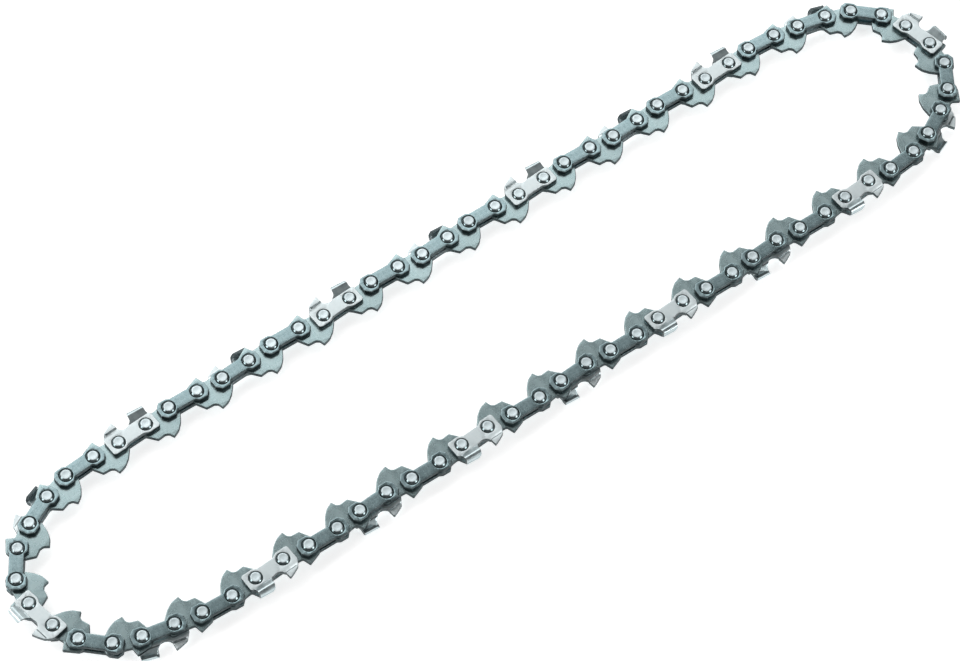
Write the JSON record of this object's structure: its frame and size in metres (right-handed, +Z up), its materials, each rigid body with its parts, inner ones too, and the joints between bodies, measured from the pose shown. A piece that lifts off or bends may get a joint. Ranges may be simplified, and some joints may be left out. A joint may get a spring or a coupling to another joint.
{
  "type": "saw chain",
  "caption": "Closed loop of riveted saw chain lying on its side: drive links with hooked tangs, tie straps, and left and right cutters with depth gauges.",
  "frame": {"origin": "on the surface that the chain lies on, under the middle of the loop", "axes": "+X along the two strands, +Z up, across the thickness of the chain, with the left-hand cutters on top"},
  "size_m": [0.3528, 0.0736, 0.0066],
  "materials": {
    "chain_steel": "blued grey hardened steel, tumbled smooth",
    "cutter_chrome": "hard chrome plate, satin bright"
  },
  "bodies": {
    "unit_01": {"link_01": "chain_steel"},
    "unit_02": {"link_02": "chain_steel", "left_cutter_01": "cutter_chrome"},
    "unit_03": {"link_03": "chain_steel"},
    "unit_04": {"link_04": "chain_steel", "right_cutter_01": "cutter_chrome"},
    "unit_05": {"link_05": "chain_steel"},
    "unit_06": {"link_06": "chain_steel", "left_cutter_02": "cutter_chrome"},
    "unit_07": {"link_07": "chain_steel"},
    "unit_08": {"link_08": "chain_steel", "right_cutter_02": "cutter_chrome"},
    "unit_09": {"link_09": "chain_steel"},
    "unit_10": {"link_10": "chain_steel", "left_cutter_03": "cutter_chrome"},
    "unit_11": {"link_11": "chain_steel"},
    "unit_12": {"link_12": "chain_steel", "right_cutter_03": "cutter_chrome"},
    "unit_13": {"link_13": "chain_steel"},
    "unit_14": {"link_14": "chain_steel", "left_cutter_04": "cutter_chrome"},
    "unit_15": {"link_15": "chain_steel"},
    "unit_16": {"link_16": "chain_steel", "right_cutter_04": "cutter_chrome"},
    "unit_17": {"link_17": "chain_steel"},
    "unit_18": {"link_18": "chain_steel", "left_cutter_05": "cutter_chrome"},
    "unit_19": {"link_19": "chain_steel"},
    "unit_20": {"link_20": "chain_steel", "right_cutter_05": "cutter_chrome"},
    "unit_21": {"link_21": "chain_steel"},
    "unit_22": {"link_22": "chain_steel", "left_cutter_06": "cutter_chrome"},
    "unit_23": {"link_23": "chain_steel"},
    "unit_24": {"link_24": "chain_steel", "right_cutter_06": "cutter_chrome"},
    "unit_25": {"link_25": "chain_steel"},
    "unit_26": {"link_26": "chain_steel", "left_cutter_07": "cutter_chrome"},
    "unit_27": {"link_27": "chain_steel"},
    "unit_28": {"link_28": "chain_steel", "right_cutter_07": "cutter_chrome"},
    "unit_29": {"link_29": "chain_steel"},
    "unit_30": {"link_30": "chain_steel", "left_cutter_08": "cutter_chrome"},
    "unit_31": {"link_31": "chain_steel"},
    "unit_32": {"link_32": "chain_steel", "right_cutter_08": "cutter_chrome"},
    "unit_33": {"link_33": "chain_steel"},
    "unit_34": {"link_34": "chain_steel", "left_cutter_09": "cutter_chrome"},
    "unit_35": {"link_35": "chain_steel"},
    "unit_36": {"link_36": "chain_steel", "right_cutter_09": "cutter_chrome"},
    "unit_37": {"link_37": "chain_steel"},
    "unit_38": {"link_38": "chain_steel", "left_cutter_10": "cutter_chrome"},
    "unit_39": {"link_39": "chain_steel"},
    "unit_40": {"link_40": "chain_steel", "right_cutter_10": "cutter_chrome"}
  },
  "joints": [
    {"name": "pivot_01", "type": "hinge", "parent": "unit_01", "child": "unit_02", "pos_m": [0.01984, 0.0308, 0.0033], "axis": [0, 0, 1], "range_deg": [-6.64, 1.01]},
    {"name": "pivot_02", "type": "hinge", "parent": "unit_02", "child": "unit_03", "pos_m": [0.03844, 0.03041, 0.0033], "axis": [0, 0, 1], "range_deg": [-11.4, 1.73]},
    {"name": "pivot_03", "type": "hinge", "parent": "unit_03", "child": "unit_04", "pos_m": [0.05705, 0.0308, 0.0033], "axis": [0, 0, 1], "range_deg": [-6.64, 1.01]},
    {"name": "pivot_04", "type": "hinge", "parent": "unit_04", "child": "unit_05", "pos_m": [0.07565, 0.03041, 0.0033], "axis": [0, 0, 1], "range_deg": [-11.4, 1.73]},
    {"name": "pivot_05", "type": "hinge", "parent": "unit_05", "child": "unit_06", "pos_m": [0.09425, 0.0308, 0.0033], "axis": [0, 0, 1], "range_deg": [-6.64, 1.01]},
    {"name": "pivot_06", "type": "hinge", "parent": "unit_06", "child": "unit_07", "pos_m": [0.11286, 0.03041, 0.0033], "axis": [0, 0, 1], "range_deg": [-10.18, 1.54]},
    {"name": "pivot_07", "type": "hinge", "parent": "unit_07", "child": "unit_08", "pos_m": [0.13144, 0.0304, 0.0033], "axis": [0, 0, 1], "range_deg": [-0.47, 3.06]},
    {"name": "pivot_08", "type": "hinge", "parent": "unit_08", "child": "unit_09", "pos_m": [0.14967, 0.02651, 0.0033], "axis": [0, 0, 1], "range_deg": [-1.92, 12.71]},
    {"name": "pivot_09", "type": "hinge", "parent": "unit_09", "child": "unit_10", "pos_m": [0.16487, 0.01635, 0.0033], "axis": [0, 0, 1], "range_deg": [-4.57, 30.34]},
    {"name": "pivot_10", "type": "hinge", "parent": "unit_10", "child": "unit_11", "pos_m": [0.17026, -0.00136, 0.0033], "axis": [0, 0, 1], "range_deg": [-4.56, 30.27]},
    {"name": "pivot_11", "type": "hinge", "parent": "unit_11", "child": "unit_12", "pos_m": [0.16337, -0.01812, 0.0033], "axis": [0, 0, 1], "range_deg": [-4.37, 28.99]},
    {"name": "pivot_12", "type": "hinge", "parent": "unit_12", "child": "unit_13", "pos_m": [0.14722, -0.02733, 0.0033], "axis": [0, 0, 1], "range_deg": [-1.62, 10.71]},
    {"name": "pivot_13", "type": "hinge", "parent": "unit_13", "child": "unit_14", "pos_m": [0.129, -0.03055, 0.0033], "axis": [0, 0, 1], "range_deg": [-0.23, 1.45]},
    {"name": "pivot_14", "type": "hinge", "parent": "unit_14", "child": "unit_15", "pos_m": [0.11038, -0.03041, 0.0033], "axis": [0, 0, 1], "range_deg": [-10.63, 1.61]},
    {"name": "pivot_15", "type": "hinge", "parent": "unit_15", "child": "unit_16", "pos_m": [0.09178, -0.0308, 0.0033], "axis": [0, 0, 1], "range_deg": [-6.64, 1.01]},
    {"name": "pivot_16", "type": "hinge", "parent": "unit_16", "child": "unit_17", "pos_m": [0.07318, -0.03041, 0.0033], "axis": [0, 0, 1], "range_deg": [-11.4, 1.73]},
    {"name": "pivot_17", "type": "hinge", "parent": "unit_17", "child": "unit_18", "pos_m": [0.05457, -0.0308, 0.0033], "axis": [0, 0, 1], "range_deg": [-6.64, 1.01]},
    {"name": "pivot_18", "type": "hinge", "parent": "unit_18", "child": "unit_19", "pos_m": [0.03597, -0.03041, 0.0033], "axis": [0, 0, 1], "range_deg": [-11.4, 1.73]},
    {"name": "pivot_19", "type": "hinge", "parent": "unit_19", "child": "unit_20", "pos_m": [0.01737, -0.0308, 0.0033], "axis": [0, 0, 1], "range_deg": [-6.62, 0.99]},
    {"name": "pivot_40", "type": "hinge", "parent": "unit_01", "child": "unit_40", "pos_m": [0.00124, 0.03041, 0.0033], "axis": [0, 0, 1], "range_deg": [-1.73, 11.4]},
    {"name": "pivot_39", "type": "hinge", "parent": "unit_40", "child": "unit_39", "pos_m": [-0.01737, 0.0308, 0.0033], "axis": [0, 0, 1], "range_deg": [-1.01, 6.64]},
    {"name": "pivot_38", "type": "hinge", "parent": "unit_39", "child": "unit_38", "pos_m": [-0.03597, 0.03041, 0.0033], "axis": [0, 0, 1], "range_deg": [-1.73, 11.4]},
    {"name": "pivot_37", "type": "hinge", "parent": "unit_38", "child": "unit_37", "pos_m": [-0.05457, 0.0308, 0.0033], "axis": [0, 0, 1], "range_deg": [-1.01, 6.64]},
    {"name": "pivot_36", "type": "hinge", "parent": "unit_37", "child": "unit_36", "pos_m": [-0.07318, 0.03041, 0.0033], "axis": [0, 0, 1], "range_deg": [-1.73, 11.4]},
    {"name": "pivot_35", "type": "hinge", "parent": "unit_36", "child": "unit_35", "pos_m": [-0.09178, 0.0308, 0.0033], "axis": [0, 0, 1], "range_deg": [-1.01, 6.64]},
    {"name": "pivot_34", "type": "hinge", "parent": "unit_35", "child": "unit_34", "pos_m": [-0.11038, 0.03041, 0.0033], "axis": [0, 0, 1], "range_deg": [-1.61, 10.63]},
    {"name": "pivot_33", "type": "hinge", "parent": "unit_34", "child": "unit_33", "pos_m": [-0.129, 0.03055, 0.0033], "axis": [0, 0, 1], "range_deg": [-1.45, 0.23]},
    {"name": "pivot_32", "type": "hinge", "parent": "unit_33", "child": "unit_32", "pos_m": [-0.14722, 0.02733, 0.0033], "axis": [0, 0, 1], "range_deg": [-10.71, 1.62]},
    {"name": "pivot_31", "type": "hinge", "parent": "unit_32", "child": "unit_31", "pos_m": [-0.16337, 0.01812, 0.0033], "axis": [0, 0, 1], "range_deg": [-28.99, 4.37]},
    {"name": "pivot_30", "type": "hinge", "parent": "unit_31", "child": "unit_30", "pos_m": [-0.17026, 0.00136, 0.0033], "axis": [0, 0, 1], "range_deg": [-30.27, 4.56]},
    {"name": "pivot_29", "type": "hinge", "parent": "unit_30", "child": "unit_29", "pos_m": [-0.16487, -0.01635, 0.0033], "axis": [0, 0, 1], "range_deg": [-30.34, 4.57]},
    {"name": "pivot_28", "type": "hinge", "parent": "unit_29", "child": "unit_28", "pos_m": [-0.14967, -0.02651, 0.0033], "axis": [0, 0, 1], "range_deg": [-12.71, 1.92]},
    {"name": "pivot_27", "type": "hinge", "parent": "unit_28", "child": "unit_27", "pos_m": [-0.13144, -0.0304, 0.0033], "axis": [0, 0, 1], "range_deg": [-3.06, 0.47]},
    {"name": "pivot_26", "type": "hinge", "parent": "unit_27", "child": "unit_26", "pos_m": [-0.11286, -0.03041, 0.0033], "axis": [0, 0, 1], "range_deg": [-1.54, 10.18]},
    {"name": "pivot_25", "type": "hinge", "parent": "unit_26", "child": "unit_25", "pos_m": [-0.09425, -0.0308, 0.0033], "axis": [0, 0, 1], "range_deg": [-1.01, 6.64]},
    {"name": "pivot_24", "type": "hinge", "parent": "unit_25", "child": "unit_24", "pos_m": [-0.07565, -0.03041, 0.0033], "axis": [0, 0, 1], "range_deg": [-1.73, 11.4]},
    {"name": "pivot_23", "type": "hinge", "parent": "unit_24", "child": "unit_23", "pos_m": [-0.05705, -0.0308, 0.0033], "axis": [0, 0, 1], "range_deg": [-1.01, 6.64]},
    {"name": "pivot_22", "type": "hinge", "parent": "unit_23", "child": "unit_22", "pos_m": [-0.03844, -0.03041, 0.0033], "axis": [0, 0, 1], "range_deg": [-1.73, 11.4]},
    {"name": "pivot_21", "type": "hinge", "parent": "unit_22", "child": "unit_21", "pos_m": [-0.01984, -0.0308, 0.0033], "axis": [0, 0, 1], "range_deg": [-1.01, 6.64]}
  ],
  "couplings": [
    {"joint": "pivot_01", "follows": "pivot_19", "ratio": 1},
    {"joint": "pivot_02", "follows": "pivot_19", "ratio": 1.7175},
    {"joint": "pivot_03", "follows": "pivot_19", "ratio": 1},
    {"joint": "pivot_04", "follows": "pivot_19", "ratio": 1.7175},
    {"joint": "pivot_05", "follows": "pivot_19", "ratio": 1},
    {"joint": "pivot_06", "follows": "pivot_19", "ratio": 1.5339},
    {"joint": "pivot_07", "follows": "pivot_19", "ratio": -0.4583},
    {"joint": "pivot_08", "follows": "pivot_19", "ratio": -1.9163},
    {"joint": "pivot_09", "follows": "pivot_19", "ratio": -4.5783},
    {"joint": "pivot_10", "follows": "pivot_19", "ratio": -4.5673},
    {"joint": "pivot_11", "follows": "pivot_19", "ratio": -4.3731},
    {"joint": "pivot_12", "follows": "pivot_19", "ratio": -1.6138},
    {"joint": "pivot_13", "follows": "pivot_19", "ratio": -0.21653},
    {"joint": "pivot_14", "follows": "pivot_19", "ratio": 1.6022},
    {"joint": "pivot_15", "follows": "pivot_19", "ratio": 1},
    {"joint": "pivot_16", "follows": "pivot_19", "ratio": 1.7175},
    {"joint": "pivot_17", "follows": "pivot_19", "ratio": 1},
    {"joint": "pivot_18", "follows": "pivot_19", "ratio": 1.7175},
    {"joint": "pivot_40", "follows": "pivot_19", "ratio": -1.7175},
    {"joint": "pivot_39", "follows": "pivot_19", "ratio": -1},
    {"joint": "pivot_38", "follows": "pivot_19", "ratio": -1.7175},
    {"joint": "pivot_37", "follows": "pivot_19", "ratio": -1},
    {"joint": "pivot_36", "follows": "pivot_19", "ratio": -1.7175},
    {"joint": "pivot_35", "follows": "pivot_19", "ratio": -1},
    {"joint": "pivot_34", "follows": "pivot_19", "ratio": -1.6022},
    {"joint": "pivot_33", "follows": "pivot_19", "ratio": 0.21653},
    {"joint": "pivot_32", "follows": "pivot_19", "ratio": 1.6138},
    {"joint": "pivot_31", "follows": "pivot_19", "ratio": 4.3731},
    {"joint": "pivot_30", "follows": "pivot_19", "ratio": 4.5673},
    {"joint": "pivot_29", "follows": "pivot_19", "ratio": 4.5783},
    {"joint": "pivot_28", "follows": "pivot_19", "ratio": 1.9163},
    {"joint": "pivot_27", "follows": "pivot_19", "ratio": 0.4583},
    {"joint": "pivot_26", "follows": "pivot_19", "ratio": -1.5339},
    {"joint": "pivot_25", "follows": "pivot_19", "ratio": -1},
    {"joint": "pivot_24", "follows": "pivot_19", "ratio": -1.7175},
    {"joint": "pivot_23", "follows": "pivot_19", "ratio": -1},
    {"joint": "pivot_22", "follows": "pivot_19", "ratio": -1.7175},
    {"joint": "pivot_21", "follows": "pivot_19", "ratio": -1}
  ]
}
